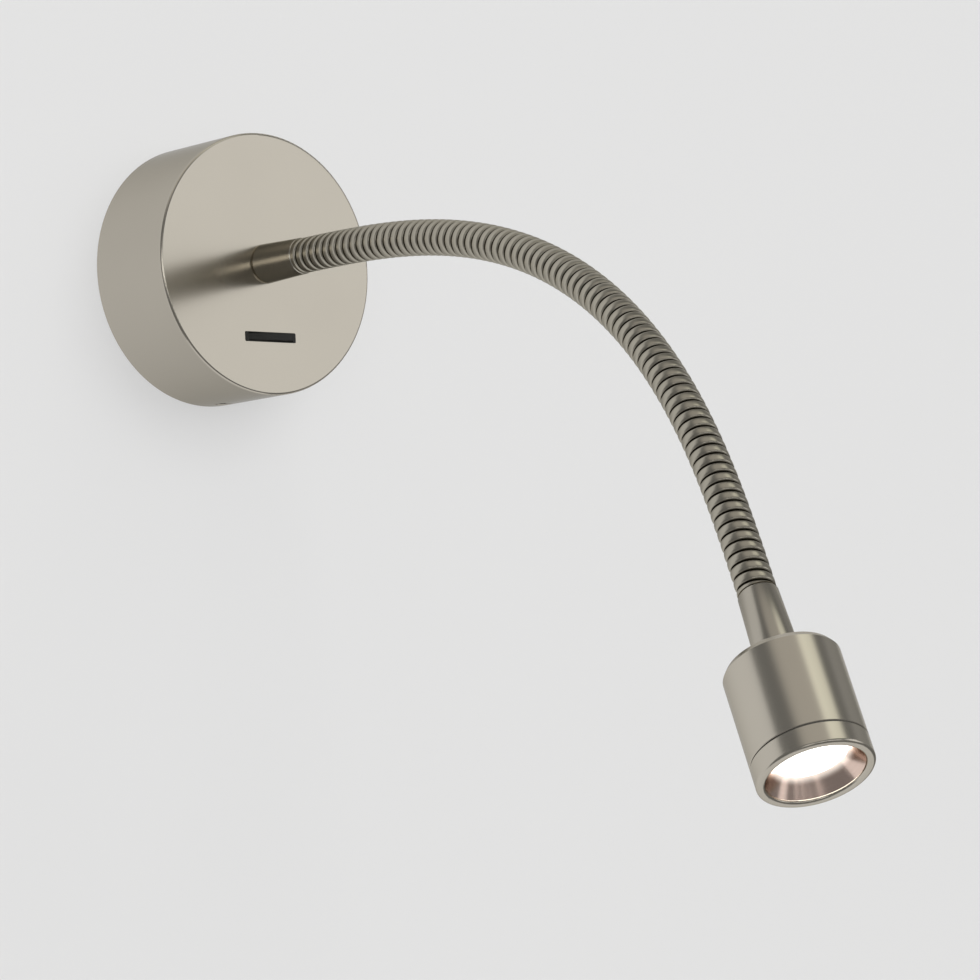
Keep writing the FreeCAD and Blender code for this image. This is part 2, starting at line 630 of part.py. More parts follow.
# ---- lead ----------------------------------------------------------------------------
def base_lead():
    """From the driver's outlet, round one bend and out through the base ferrule."""
    turn = LEAD_DRIVER_OUT + LEAD_BEND_R
    outlet = DRIVER_UP - DRIVER_HEIGHT / 2 + DRIVER_WALL
    end = BASE_DEPTH + BASE_FERRULE_LENGTH + STUB_LENGTH - LEAD_END_GAP
    points = [Vector(0, outlet, LEAD_DRIVER_OUT), Vector(0, LEAD_BEND_R, LEAD_DRIVER_OUT),
              Vector(0, 0, turn), Vector(0, 0, end)]
    slack = LEAD_BEND_R * (1 - sqrt(0.5))
    bend = Part.Arc(points[1], Vector(0, slack, LEAD_DRIVER_OUT + slack), points[2])
    path = Part.Wire([Part.LineSegment(points[0], points[1]).toShape(), bend.toShape(),
                      Part.LineSegment(points[2], points[3]).toShape()])
    section = Part.Wire(Part.makeCircle(LEAD_R, points[0], Vector(0, -1, 0)))
    return path.makePipeShell([section], True, False)


def middle_lead():
    return rod(LEAD_R, SECTION_LENGTH - 2 * LEAD_END_GAP, z=LEAD_END_GAP)


def head_lead():
    """From the last seat through the head ferrule and the heat sink to the board."""
    end = STUB_LENGTH + HEAD_FERRULE_LENGTH + BOARD_AT
    return rod(LEAD_R, end - LEAD_END_GAP, z=LEAD_END_GAP)


# ---- head ----------------------------------------------------------------------------
# Head pieces are drawn with height 0 at the top of the housing and Z towards the lens.
def head_housing():
    step_r = HOUSING_INNER_R - HOUSING_STEP
    return turned((NIPPLE_R + SLIP, 0), (HEAD_R - HOUSING_EDGE, 0), (HEAD_R, HOUSING_EDGE_LENGTH),
                  (HEAD_R, HOUSING_LENGTH - 0.2), (HEAD_R - 0.2, HOUSING_LENGTH),
                  (HOUSING_INNER_R, HOUSING_LENGTH), (HOUSING_INNER_R, SINK_AT),
                  (step_r, SINK_AT), (step_r, HOUSING_TOP + 1),
                  ((step_r - 0.3, HOUSING_TOP + 0.3), (step_r - 1, HOUSING_TOP)),
                  (NIPPLE_R + SLIP, HOUSING_TOP))


def board_screw_points():
    return [(-BOARD_SCREW_AT, 0), (BOARD_SCREW_AT, 0)]


def heat_sink():
    """Turned disc with a ring of upright fins that leave room for the nut."""
    disc = tube(HOUSING_INNER_R - FIT, LEAD_R + SLIP, SINK_AT, SINK_TOP)
    outer = HOUSING_INNER_R - HOUSING_STEP - RUNNING
    fins = []
    for i in range(SINK_FINS):
        fin = Part.makeBox(outer - FIN_INNER_R, FIN_THICK, FIN_LENGTH,
                           Vector(FIN_INNER_R, -FIN_THICK / 2, SINK_AT - FIN_LENGTH))
        fin.rotate(Vector(), UP, (i + 0.5) * 360 / SINK_FINS)
        fins.append(fin)
    sink = disc.multiFuse(fins)
    for x, y in board_screw_points():
        sink = sink.cut(rod(BOARD_SCREW_R + FIT, BOARD_SCREW_LENGTH, x, y,
                            BOARD_AT + BOARD_THICK - BOARD_SCREW_LENGTH - 0.2))
    return sink.removeSplitter()


def board_disc(start, thickness):
    """Round sheet with the holes for the lead and the two screws."""
    disc = rod(BOARD_R, thickness, z=start)
    for x, y in board_screw_points():
        disc = disc.cut(rod(BOARD_SCREW_R + SLIP, thickness, x, y, start))
    return disc


def thermal_pad():
    return board_disc(SINK_TOP, PAD_THICK).cut(rod(LEAD_R + SLIP, PAD_THICK, z=SINK_TOP))


def light_board():
    return board_disc(BOARD_AT, BOARD_THICK)


def light_emitter():
    base = BOARD_AT + BOARD_THICK
    top = base + EMITTER_THICK
    rim = EMITTER_R - 1.0
    ball = (rim ** 2 + EMITTER_DOME ** 2) / (2 * EMITTER_DOME)
    halfway = top + EMITTER_DOME - ball + sqrt(ball ** 2 - (rim / 2) ** 2)
    return turned((0, base), (EMITTER_R, base), (EMITTER_R, top), (rim, top),
                  ((rim / 2, halfway), (0, top + EMITTER_DOME)))


def board_screws():
    face = BOARD_AT + BOARD_THICK
    return group([screw(BOARD_SCREW_R, BOARD_SCREW_LENGTH, BOARD_HEAD_R, BOARD_HEAD_HEIGHT,
                        x, y, face) for x, y in board_screw_points()])


def lens_holder():
    """Spacer between the heat sink and the back of the lens."""
    outer = BEZEL_BORE_R - FIT
    return tube(outer, outer - HOLDER_WALL, SINK_TOP, LENS_BACK)


def lens():
    edge = 0.3
    rim = BEZEL_BORE_R - FIT
    return turned((0, LENS_BACK), (rim - edge, LENS_BACK), (rim, LENS_BACK + edge),
                  (rim, LENS_FRONT - edge), (rim - edge, LENS_FRONT), (0, LENS_FRONT))


def reflector():
    """Thin polished cone between the lens and the lip of the bezel."""
    rim = BEZEL_BORE_R - FIT
    return turned((REFLECTOR_R, LENS_FRONT), (REFLECTOR_R + 1.2, LENS_FRONT),
                  (rim, REFLECTOR_FRONT - REFLECTOR_THICK), (rim, REFLECTOR_FRONT),
                  (BEZEL_OPENING_R, REFLECTOR_FRONT))


def bezel_ring():
    """Ring that screws into the housing, with a rounded lip round the opening."""
    r = BEZEL_ROUND
    bend = r * (1 - sqrt(0.5))
    return turned((BEZEL_BORE_R, SINK_TOP), (BEZEL_SPIGOT_R, SINK_TOP),
                  (BEZEL_SPIGOT_R, BEZEL_AT), (HEAD_R - 0.2, BEZEL_AT),
                  (HEAD_R, BEZEL_AT + 0.2), (HEAD_R, HEAD_LENGTH - r),
                  ((HEAD_R - bend, HEAD_LENGTH - bend), (HEAD_R - r, HEAD_LENGTH)),
                  (BEZEL_OPENING_R + r, HEAD_LENGTH),
                  ((BEZEL_OPENING_R + bend, HEAD_LENGTH - bend),
                   (BEZEL_OPENING_R, HEAD_LENGTH - r)),
                  (BEZEL_OPENING_R, REFLECTOR_FRONT), (BEZEL_BORE_R, REFLECTOR_FRONT))


def bezel_seal():
    return tube(HEAD_R - SEAL_INSET, HOUSING_INNER_R + FIT, HOUSING_LENGTH, BEZEL_AT)


# ---- put it together -----------------------------------------------------------------
NODES = {}


def add(name, shape, place, lift=0.0):
    """Lay a piece in a frame, lifted along the frame's Z, under its node's name."""
    shape = shape.copy()
    shape.translate(Vector(0, 0, lift))
    shape.Placement = place.multiply(shape.Placement)
    NODES[name] = shape


for piece in (mounting_plate, cable_grommet, earth_screw, terminal_block, terminal_screws,
              driver_case, driver_lid, driver_screws, base_cover, cover_screws,
              switch_housing, switch_rocker, switch_blades):
    add(piece.__name__, piece(), BASE_FRAME)
add("base_ferrule", ferrule(BASE_FERRULE_LENGTH, BASE_FERRULE_R), BASE_FRAME, BASE_DEPTH)
add("base_nipple", nipple(COVER_FACE), BASE_FRAME, BASE_DEPTH)
add("base_washer", washer(COVER_FACE), BASE_FRAME, BASE_DEPTH)
add("base_nut", nut(COVER_FACE), BASE_FRAME, BASE_DEPTH)

# Sections and lead pieces are numbered from the base, 01, to the head.
add("gooseneck_01", base_section(), BASE_FRAME, BASE_DEPTH + BASE_FERRULE_LENGTH)
add("lead_01", base_lead(), BASE_FRAME)
for number in range(1, JOINTS + 1):
    place = frame(SEATS[number - 1], ARM_PLANE_X, arm_direction(ANGLES[number]))
    last = number == JOINTS
    add("gooseneck_%02d" % (number + 1), head_section() if last else middle_section(), place)
    add("lead_%02d" % (number + 1), head_lead() if last else middle_lead(), place)

# The head's ferrule, nipple, washer and nut are the base's, turned to face the arm.
FERRULE_FRAME = frame(HEAD_TOP, ARM_PLANE_X, HEAD_AXIS * -1)
add("head_ferrule", ferrule(HEAD_FERRULE_LENGTH, HEAD_FERRULE_R), FERRULE_FRAME)
add("head_nipple", nipple(HOUSING_TOP), FERRULE_FRAME)
add("head_washer", washer(HOUSING_TOP), FERRULE_FRAME)
add("head_nut", nut(HOUSING_TOP), FERRULE_FRAME)
for piece in (head_housing, heat_sink, thermal_pad, light_board, light_emitter, board_screws,
              lens_holder, lens, reflector, bezel_ring, bezel_seal):
    add(piece.__name__, piece(), HEAD_FRAME)

os.makedirs("parts", exist_ok=True)
for name, shape in NODES.items():
    shape.exportStep("parts/%s.step" % name)
print(len(NODES), "nodes,", sum(len(s.Solids) for s in NODES.values()), "solids")
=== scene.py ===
# %% [markdown]
# A wall reading lamp: a round satin nickel base, a gooseneck arm and a short lit head.
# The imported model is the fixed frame. Everything that is added here is worked out from it,
# in metres, with the wall as the plane Y = 0, the room towards -Y and +Z up.

# %% Load the frame
import json

import bmesh
import bpy
import numpy as np
from mathutils import Matrix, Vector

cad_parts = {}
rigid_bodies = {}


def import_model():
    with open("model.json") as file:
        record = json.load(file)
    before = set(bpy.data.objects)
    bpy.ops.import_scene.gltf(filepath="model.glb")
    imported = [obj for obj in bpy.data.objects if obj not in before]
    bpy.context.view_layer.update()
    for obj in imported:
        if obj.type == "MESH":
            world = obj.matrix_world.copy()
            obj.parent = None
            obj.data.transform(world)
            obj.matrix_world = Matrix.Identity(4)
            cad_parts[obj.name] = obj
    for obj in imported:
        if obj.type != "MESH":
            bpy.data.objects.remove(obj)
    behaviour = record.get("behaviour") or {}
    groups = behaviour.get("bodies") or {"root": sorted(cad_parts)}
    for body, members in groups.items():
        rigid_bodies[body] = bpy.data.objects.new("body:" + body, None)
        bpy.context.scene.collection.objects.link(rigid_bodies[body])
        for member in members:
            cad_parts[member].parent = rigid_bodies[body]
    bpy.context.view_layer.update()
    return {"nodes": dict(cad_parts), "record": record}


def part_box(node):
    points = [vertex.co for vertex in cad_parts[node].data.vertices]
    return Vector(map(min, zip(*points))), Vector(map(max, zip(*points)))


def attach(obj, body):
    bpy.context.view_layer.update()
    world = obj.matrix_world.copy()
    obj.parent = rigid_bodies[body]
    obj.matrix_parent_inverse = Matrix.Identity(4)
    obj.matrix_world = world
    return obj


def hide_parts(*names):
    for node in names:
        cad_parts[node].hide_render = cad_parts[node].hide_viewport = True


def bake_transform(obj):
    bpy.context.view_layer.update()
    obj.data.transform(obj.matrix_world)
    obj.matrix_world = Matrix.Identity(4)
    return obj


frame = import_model()
nodes, record = frame["nodes"], frame["record"]

# %% [markdown]
# The camera stands where the picture was taken from. It could be placed by eye, but a small
# error there bends every later choice, so its place was found by fitting the base, the arm
# and the head to their outlines. A long lens with no shift shows the lamp at its real
# proportions.

# %% The camera
SENSOR_MM = 36.0
FRAME_PIXELS = 980
FOCAL_PIXELS = 4206.2
CAMERA_AT = (-0.990501, -1.271212, -0.215772)
CAMERA_YAW, CAMERA_PITCH, CAMERA_ROLL = 0.72792, 0.07938, 0.05322   # radians


def camera_matrix(yaw, pitch, roll, place):
    """Forward turns from +Y towards +X by yaw and up by pitch; roll turns the frame's
    right and down about forward. The matrix holds right, up and backward."""
    forward = np.array([np.sin(yaw) * np.cos(pitch), np.cos(yaw) * np.cos(pitch),
                        np.sin(pitch)])
    level = np.array([np.cos(yaw), -np.sin(yaw), 0.0])
    down = np.cross(forward, level)
    right = level * np.cos(roll) + down * np.sin(roll)
    below = down * np.cos(roll) - level * np.sin(roll)
    matrix = np.eye(4)
    matrix[:3, 0], matrix[:3, 1], matrix[:3, 2] = right, -below, -forward
    matrix[:3, 3] = place
    return Matrix(matrix.tolist())


scene = bpy.context.scene
camera_data = bpy.data.cameras.new("camera")
camera_data.sensor_width = SENSOR_MM
camera_data.lens = FOCAL_PIXELS / FRAME_PIXELS * SENSOR_MM
camera = bpy.data.objects.new("camera", camera_data)
camera.matrix_world = camera_matrix(CAMERA_YAW, CAMERA_PITCH, CAMERA_ROLL, CAMERA_AT)
scene.collection.objects.link(camera)
scene.camera = camera
scene.view_settings.view_transform = "Standard"
print("lens", round(camera_data.lens, 1), "mm")

# %% [markdown]
# Shader maths reads better as sums and products than as a web of nodes. This small class
# wraps one socket: arithmetic on it adds Math nodes, and one method adds any other node.

# %% Shader maths
class Wire:
    """A socket in a shader tree. +, -, *, / and ** with wires or numbers add Math nodes."""

    def __init__(self, tree, socket=None):
        self.tree, self.socket = tree, socket

    def node(self, kind, settings=None, values=None, output=0):
        """Add a node: its settings first, or a ramp's stops, then its sockets' values."""
        made = self.tree.nodes.new(kind)
        for key, value in (settings or {}).items():
            if key == "stops":
                ramp = made.color_ramp
                while len(ramp.elements) < len(value):
                    ramp.elements.new(0.5)
                for element, (spot, colour) in zip(ramp.elements, value):
                    element.position, element.color = spot, (*colour, 1)
            else:
                setattr(made, key, value)
        for key, value in (values or {}).items():
            if isinstance(value, Wire):
                self.tree.links.new(value.socket, made.inputs[key])
            else:
                made.inputs[key].default_value = value
        return Wire(self.tree, made.outputs[output])

    def math(self, operation, *values):
        settings = {"operation": operation}
        return self.node("ShaderNodeMath", settings, dict(enumerate(values)))

    def __add__(self, other):
        return self.math("ADD", self, other)

    def __sub__(self, other):
        return self.math("SUBTRACT", self, other)

    def __mul__(self, other):
        return self.math("MULTIPLY", self, other)

    def __truediv__(self, other):
        return self.math("DIVIDE", self, other)

    def __rsub__(self, other):
        return self.math("SUBTRACT", other, self)

    def __pow__(self, other):
        return self.math("POWER", self, other)

    __radd__, __rmul__ = __add__, __mul__

    def smooth(self, low, high):
        """0 below low, 1 above high, with an S-curve between; low may be the larger."""
        return self.node("ShaderNodeMapRange", {"interpolation_type": "SMOOTHERSTEP"},
                         {"Value": self, "From Min": low, "From Max": high})

    def dot(self, vector):
        return self.node("ShaderNodeVectorMath", {"operation": "DOT_PRODUCT"},
                         {0: self, 1: vector}, "Value")

    def mix(self, first, second):
        """Colour between first, where this wire is 0, and second, where it is 1."""
        return self.node("ShaderNodeMix", {"data_type": "RGBA"},
                         {0: self, 6: first, 7: second}, 2)

    def shades(self, colour, low, high):
        """From low * colour, where this wire is 0, to high * colour, where it is 1."""
        return self.mix((*[low * c for c in colour], 1), (*[high * c for c in colour], 1))

    def link(self, socket):
        self.tree.links.new(self.socket, socket)


# %% [markdown]
# Satin metal has hardly any colour of its own to show: it is a blurred picture of the room,
# so the studio matters as much as the finish. A picture of a real room could be used. A dim
# grey room with a few soft round cards is easier to reason about: each card was placed by
# asking which way the metal looks where it shows a bright or a dark band. A card adds its
# colour to the room's grey, so a negative colour makes a dark card.

# %% The studio
PALE = (0.775, 0.775, 0.775)    # what the camera sees round the lamp
ROOM = (0.20, 0.20, 0.20)       # the grey that the cards are added to
CARDS = [  # azimuth from -Y towards +X, height, inner and outer radius in degrees, colour
    (42, 10, 15, 22, (0.74, 0.74, 0.74)),        # broad, for the base's face
    (32, 54, 3, 19, (0.86, 0.86, 0.75)),         # high, for the head's light band
    (-33, 62, 10, 36, (0.35, 0.33, 0.30)),       # overhead
    (95, 18, 15, 35, (0.16, 0.16, 0.16)),        # far right
    (-43, 1, 4, 13, (1.3, 1.28, 1.25)),          # bright, for the glint on the base's rim
    (-22, 4, 3, 8, (1.7, 1.7, 1.68)),            # row of small ones, for the streak that
    (-7, 4, 3, 8, (1.7, 1.7, 1.68)),             # runs along the ferrule
    (8, 4, 3, 8, (1.7, 1.7, 1.68)),
    (-33, -27, 6, 22, (-0.12, -0.12, -0.12)),    # dark, low in front
    (-74, -22, 8, 17, (-0.13, -0.165, -0.175)),  # dark reddish, for the reflector's patch
    (0, -90, 50, 75, (-0.12, -0.12, -0.12)),     # dark below
]


def heading(azimuth, height):
    """Unit vector at an azimuth from -Y towards +X and a height over the horizon."""
    turn, rise = np.radians(azimuth), np.radians(height)
    return (np.sin(turn) * np.cos(rise), -np.cos(turn) * np.cos(rise), np.sin(rise))


world = bpy.data.worlds.new("studio")
world.use_nodes = True
scene.world = world
tree = world.node_tree
start = Wire(tree)
toward = start.node("ShaderNodeTexCoord", output="Generated")
room = start.node("ShaderNodeRGB")
room.socket.default_value = (*ROOM, 1)
for azimuth, height, inner, outer, colour in CARDS:
    cover = toward.dot(heading(azimuth, height)).smooth(np.cos(np.radians(outer)),
                                                        np.cos(np.radians(inner)))
    room = start.node("ShaderNodeMix", {"data_type": "RGBA", "blend_type": "ADD"},
                      {0: cover, 6: room, 7: (*colour, 1)}, 2)
seen = start.node("ShaderNodeLightPath", output="Is Camera Ray")
seen.mix(room, (*PALE, 1)).link(tree.nodes["Background"].inputs["Color"])
print(len(CARDS), "cards in the room")

# %% [markdown]
# Two large lamps give the shadow under the base and the light on the wall. They are kept out
# of reflections, because the cards above already are what the metal should show.

# %% The lamps
def lamp(name, energy, size, place, target):
    """A square area light at place that faces target, left out of reflections: its axes are
    side = up x away and away x side, with away pointing from target to place."""
    data = bpy.data.lights.new(name, "AREA")
    data.energy, data.size = energy, size
    light = bpy.data.objects.new(name, data)
    away = np.array(place, float) - np.array(target, float)
    away /= np.linalg.norm(away)
    side = np.cross((0, 0, 1), away)
    side /= np.linalg.norm(side)
    matrix = np.eye(4)
    matrix[:3, 0], matrix[:3, 1], matrix[:3, 2] = side, np.cross(away, side), away
    matrix[:3, 3] = place
    light.matrix_world = Matrix(matrix.tolist())
    light.visible_glossy = False
    scene.collection.objects.link(light)
    print("lamp", name, energy, "W")


lamp("key", 46, 2.2, (0.35, -2.9, 0.95), (0.0, 0, -0.05))
lamp("fill", 14, 2.4, (-1.2, -2.4, 0.2), (0.05, 0, -0.08))

# %% [markdown]
# The wall is a big board a hair behind the base. It is drawn only from the front, so that
# the lamp's back can be looked at through it. Lamps alone would shade it from corner to
# corner, and the picture's wall is even, so most of its paleness is given to it for camera
# rays and the rest is real light, which keeps a faint shadow under the base. The metal sees
# a plain pale wall with the base's shade painted on it: a little dimmer near the base, and
# more so straight below it. The floor lies well below.

# %% Wall and floor
EVEN_SHARE = 0.65              # share of the paleness that doesn't depend on the lamps
# Painted shade: the base's shadow on the wall, as the metal's reflections see it.
NEAR_R, FAR_R = 0.09, 0.20     # the metal sees a dimmer wall close to the base:
NEAR_SHADE, LOW_SHADE = 0.12, 0.14     # by this share, and by more straight below it
CLOUDS_PER_METRE, CLOUD_TONE = 2.5, 0.985
WALL_X, WALL_Z, WALL_Y = (-0.75, 1.0), (-0.8, 0.65), 0.0004
FLOOR_X, FLOOR_Y, FLOOR_Z = (-0.7, 0.7), (-0.75, 0.6), -0.95
WALL_TONE, FLOOR_TONE = 0.80, 0.78


def board(name, corners, grey):
    """One flat pale face, seen from its front only. The camera sees even share * PALE +
    (1 - even share) * what the lamps give. Mirror rays see PALE with the base's shade painted
    on: PALE * (1 - near * (near shade + low shade * fall ** 2)), where fall is how far down a
    point lies over its distance."""
    mesh = bpy.data.meshes.new(name)
    mesh.from_pydata(corners, [], [tuple(range(len(corners)))])
    paint = bpy.data.materials.new(name)
    paint.use_nodes = True
    tree = paint.node_tree
    start = Wire(tree)
    tree.nodes.remove(tree.nodes["Principled BSDF"])
    place = start.node("ShaderNodeTexCoord", output="Object")
    cloud = start.node("ShaderNodeTexNoise", None, {"Vector": place,
                                                    "Scale": CLOUDS_PER_METRE})
    tint = cloud.shades((grey, grey, grey), CLOUD_TONE, 1)
    lit = start.node("ShaderNodeBsdfDiffuse", None, {"Color": tint})
    direct = start.node("ShaderNodeLightPath", output="Is Camera Ray")
    mirror = start.node("ShaderNodeLightPath", output="Is Glossy Ray")
    through = start.node("ShaderNodeLightPath", output="Is Transmission Ray")
    reach = start.node("ShaderNodeVectorMath", {"operation": "LENGTH"}, {0: place}, "Value")
    near = reach.smooth(FAR_R, NEAR_R)
    fall = start.math("MINIMUM", place.dot((0, 0, 1)) / reach, 0)
    # Painted shade of the base: mirror rays see the wall darker close to it, most of all below
    # it.
    dim = 1 - near * mirror * (NEAR_SHADE + fall * fall * LOW_SHADE)
    tone = dim.mix((0, 0, 0, 1), (*PALE, 1))
    even = start.node("ShaderNodeEmission", None, {"Color": tone})
    share = start.math("MAXIMUM", direct, through) * EVEN_SHARE
    share = start.math("MAXIMUM", share, mirror)
    pale = start.node("ShaderNodeMixShader", None, {0: share, 1: lit, 2: even})
    clear = start.node("ShaderNodeBsdfTransparent")
    back = start.node("ShaderNodeNewGeometry", output="Backfacing")
    shown = start.node("ShaderNodeMixShader", None, {0: back, 1: pale, 2: clear})
    shown.link(tree.nodes["Material Output"].inputs["Surface"])
    mesh.materials.append(paint)
    piece = bpy.data.objects.new(name, mesh)
    scene.collection.objects.link(piece)


(left, right), (low, high) = WALL_X, WALL_Z
board("wall", [(left, WALL_Y, low), (right, WALL_Y, low), (right, WALL_Y, high),
               (left, WALL_Y, high)], WALL_TONE)
(left, right), (front, rear) = FLOOR_X, FLOOR_Y
board("floor", [(left, front, FLOOR_Z), (right, front, FLOOR_Z), (right, rear, FLOOR_Z),
                (left, rear, FLOOR_Z)], FLOOR_TONE)
print("wall", np.ptp(WALL_X), "x", round(np.ptp(WALL_Z), 2), "m")

# %% [markdown]
# The hose is wound and the ferrules are turned, and both are an outline carried along a
# path. Screw and Spin modifiers could do that on straight paths, but the hose is bent, so
# both are worked out as grids of points: rows run along the path and columns round the
# outline. One mesh helper then serves them all.

# %% Grids to meshes
SHARP_DEGREES = 32.0
WELD = 1e-7             # metres


def grid_mesh(name, points, wrap_rows=False, caps=False, strip=None):
    """Quads between neighbouring points of a grid (rows, columns, 3). Columns always
    close on themselves. Rows close too with wrap_rows, and caps adds a flat end face to
    the first and the last row. Strip is a vector per point that the finish reads."""
    rows, columns = points.shape[:2]
    index = np.arange(rows * columns).reshape(rows, columns)
    if wrap_rows:
        index = np.vstack([index, index[:1]])
    here, there = index[:-1], index[1:]
    quads = np.stack([here, np.roll(here, -1, 1), np.roll(there, -1, 1), there], -1)
    faces = quads.reshape(-1, 4).tolist()
    if caps:
        faces += [index[0, ::-1].tolist(), index[-1].tolist()]
    mesh = bpy.data.meshes.new(name)
    mesh.from_pydata(points.reshape(-1, 3), [], faces)
    if strip is not None:
        layer = mesh.attributes.new("strip", "FLOAT_VECTOR", "POINT")
        layer.data.foreach_set("vector", strip.astype(np.float32).ravel())
    return mesh


def finish_mesh(name, mesh):
    """Merge doubles, turn the faces outwards and shade smooth between sharp edges."""
    work = bmesh.new()
    work.from_mesh(mesh)
    bmesh.ops.remove_doubles(work, verts=work.verts, dist=WELD)
    bmesh.ops.recalc_face_normals(work, faces=work.faces)
    work.to_mesh(mesh)
    work.free()
    mesh.polygons.foreach_set("use_smooth", np.ones(len(mesh.polygons), bool))
    mesh.set_sharp_from_angle(angle=np.radians(SHARP_DEGREES))
    piece = bpy.data.objects.new(name, mesh)
    scene.collection.objects.link(piece)
    return piece


# %% [markdown]
# A gooseneck bends evenly, and its joints here are 13 points on that bend. A curve object
# through them could carry the hose, but its length between joints would change with its
# handles. So the line is worked out: straight stretches from joint to joint, with an arc at
# each joint that reaches half way along both stretches.

# %% The arm's centre line
OUT = np.array([0.0, -1.0, 0.0])
TURNS_PER_JOINT = 6
END_TURNS = 1.5       # between a ferrule and the start of the nearest arc
arm_joints = [j for j in record["behaviour"]["joints"] if j["name"].startswith("arm_")]
arm_bodies = [arm_joints[0]["parent"]] + [j["child"] for j in arm_joints]
seats = np.array([j["pos_m"] for j in arm_joints])
HALF = np.linalg.norm(seats[1] - seats[0]) / 2
PITCH = 2 * HALF / TURNS_PER_JOINT


def box_middle(node):
    """Half way between the lowest and the highest corner of a node's box."""
    low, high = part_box(node)
    return (np.array(low) + np.array(high)) / 2


ahead = np.diff(seats, axis=0)
head_way = box_middle("head_washer") - seats[-1]
ways = np.vstack([OUT, ahead, head_way])
ways /= np.linalg.norm(ways, axis=1)[:, None]
head_axis = ways[-1]
across = np.cross(ways[0], head_axis)
across /= np.linalg.norm(across)
before, after = ways[:-1], ways[1:]
kinks = np.arccos(np.clip((before * after).sum(1), -1, 1))
arc_radii = HALF / np.tan(kinks / 2)
arc_starts = seats - HALF * before
TURNS = TURNS_PER_JOINT * len(seats) + 2 * END_TURNS
print("arm", len(seats), "joints,", TURNS, "turns of", round(PITCH * 1000, 3), "mm, bend",
      round(float(np.degrees(kinks.sum())), 1), "degrees")


def hose_line(turn):
    """Point and upward normal of the centre line where that many turns have passed. Within
    arc k, angle a = kink * share: point = start + R * (sin a * way + (1 - cos a) * inward);
    before the first arc and after the last one it runs straight on."""
    place = (turn - END_TURNS) / TURNS_PER_JOINT
    arc = np.clip(np.floor(place).astype(int), 0, len(seats) - 1)
    share = np.clip(place - arc, 0, 1)
    beyond = (place - arc - share) * 2 * HALF
    inward = np.cross(across, before[arc])
    angle, radius = (kinks[arc] * share)[..., None], arc_radii[arc][..., None]
    way = before[arc] * np.cos(angle) + inward * np.sin(angle)
    point = (arc_starts[arc] + radius * (np.sin(angle) * before[arc]
                                         + (1 - np.cos(angle)) * inward))
    return point + beyond[..., None] * way, np.cross(way, across)


# %% [markdown]
# The real hose is one long metal strip wound into a tube: a crowned band that shows, and a
# flange that hides under the next turn and closes the groove. A tube with a bump pattern
# would look flat at its two edges, where the turns stand out against the wall, so the
# strip's own outline is made here.

# %% The strip's outline
MM = 0.001
HOSE_R = 6.6 * MM
BAND, BAND_FOOT_R = 3.34 * MM, 5.7 * MM
CROWN_POINTS = 19
FLANGE_MM = [(1.67, 5.55), (2.85, 5.55), (2.85, 5.2), (-0.45, 5.2), (-0.75, 5.69)]


def strip_outline():
    """Offset along the hose and radius. The band's crown follows
    foot + rise * (1 - 0.13 * x ** 2) * (1 - |x| ** 6) ** 0.5 over its width, x from -1
    to 1: gently crowned, with quick shoulders down into the groove."""
    x = np.sin(np.linspace(-np.pi / 2, np.pi / 2, CROWN_POINTS))
    crown = BAND_FOOT_R + (HOSE_R - BAND_FOOT_R) * (1 - 0.13 * x ** 2) * np.sqrt(1 - x ** 6)
    band = np.stack([x * BAND / 2, crown], -1)
    return np.vstack([band, np.array(FLANGE_MM) * MM])


print("strip outline of", len(strip_outline()), "points, pitch", round(PITCH / MM, 3), "mm")

# %% [markdown]
# The outline is carried along a helix round the centre line. Its turns run out into the two
# end planes as a real hose's do where it is cut, and the ferrules cover the cuts.

# %% Winding the strip
STEPS_PER_TURN = 60
FERRULE_STEP_BACK = 0.9 * MM      # how far the hose reaches into the head ferrule's mouth
LEAD_IN, LEAD_OUT = 0.7, 0.36     # turns that run out into the end planes
CLEAR_OF_END = 0.01               # turns
START_ANGLE = np.pi               # puts the first turn's run-out on the hidden side
LAST_TURN = TURNS + FERRULE_STEP_BACK / PITCH


def wound_strip(first, last):
    """Rows are steps along the helix from one turn number to another, columns go round
    the outline: point = line(turn + offset / pitch) + radius * (cos a * up + sin a *
    across), a = 2 pi * turn + start. Also gives each point's place for the finish: offset
    over half the band, turn number, and height over the groove from 0 to 1."""
    turn = np.linspace(first, last, int(round((last - first) * STEPS_PER_TURN)) + 1)
    offset, radius = strip_outline().T
    along = np.clip(turn[:, None] + offset / PITCH, CLEAR_OF_END, LAST_TURN - CLEAR_OF_END)
    point, up = hose_line(along)
    angle = 2 * np.pi * turn[:, None, None] + START_ANGLE
    spread = np.broadcast_arrays(2 * offset / BAND, turn[:, None],
                                 (radius - BAND_FOOT_R) / (HOSE_R - BAND_FOOT_R))
    return (point + radius[:, None] * (np.cos(angle) * up + np.sin(angle) * across),
            np.stack(spread, -1))


print("wound from turn", -LEAD_IN, "to", round(LAST_TURN + LEAD_OUT, 2))

# %% [markdown]
# One mesh can't bend over 13 joints, because a piece blends between two bodies only. So the
# helix is cut half way between joints, into one length round each joint. The cuts share
# their points with the next length.


def cut_turn(k):
    """Turn number where arc k starts, or where the hose runs out into a ferrule."""
    if k == 0:
        return -LEAD_IN
    return LAST_TURN + LEAD_OUT if k == len(seats) else END_TURNS + k * TURNS_PER_JOINT


hose = []
for k, (nearer, farther) in enumerate(zip(arm_bodies, arm_bodies[1:])):
    points, strip = wound_strip(cut_turn(k), cut_turn(k + 1))
    name = f"hose_{k + 1:02d}"
    piece = finish_mesh(name, grid_mesh(name, points, caps=True, strip=strip))
    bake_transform(piece)
    stands_for = [f"gooseneck_{k + 1:02d}"]
    if k == len(seats) - 1:
        stands_for.append(f"gooseneck_{k + 2:02d}")
    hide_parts(*stands_for)
    hose.append(piece)
print(len(hose), "lengths of hose,", sum(len(p.data.polygons) for p in hose), "faces")

# %% [markdown]
# The two ferrules are turned cones that grip the ends of the hose. A cone primitive would
# give the flank, but not the foot's rounding, where a dark line shows against the face, nor
# the bevelled mouth, which catches light. So each is an outline of radius and height carried
# round its axis.

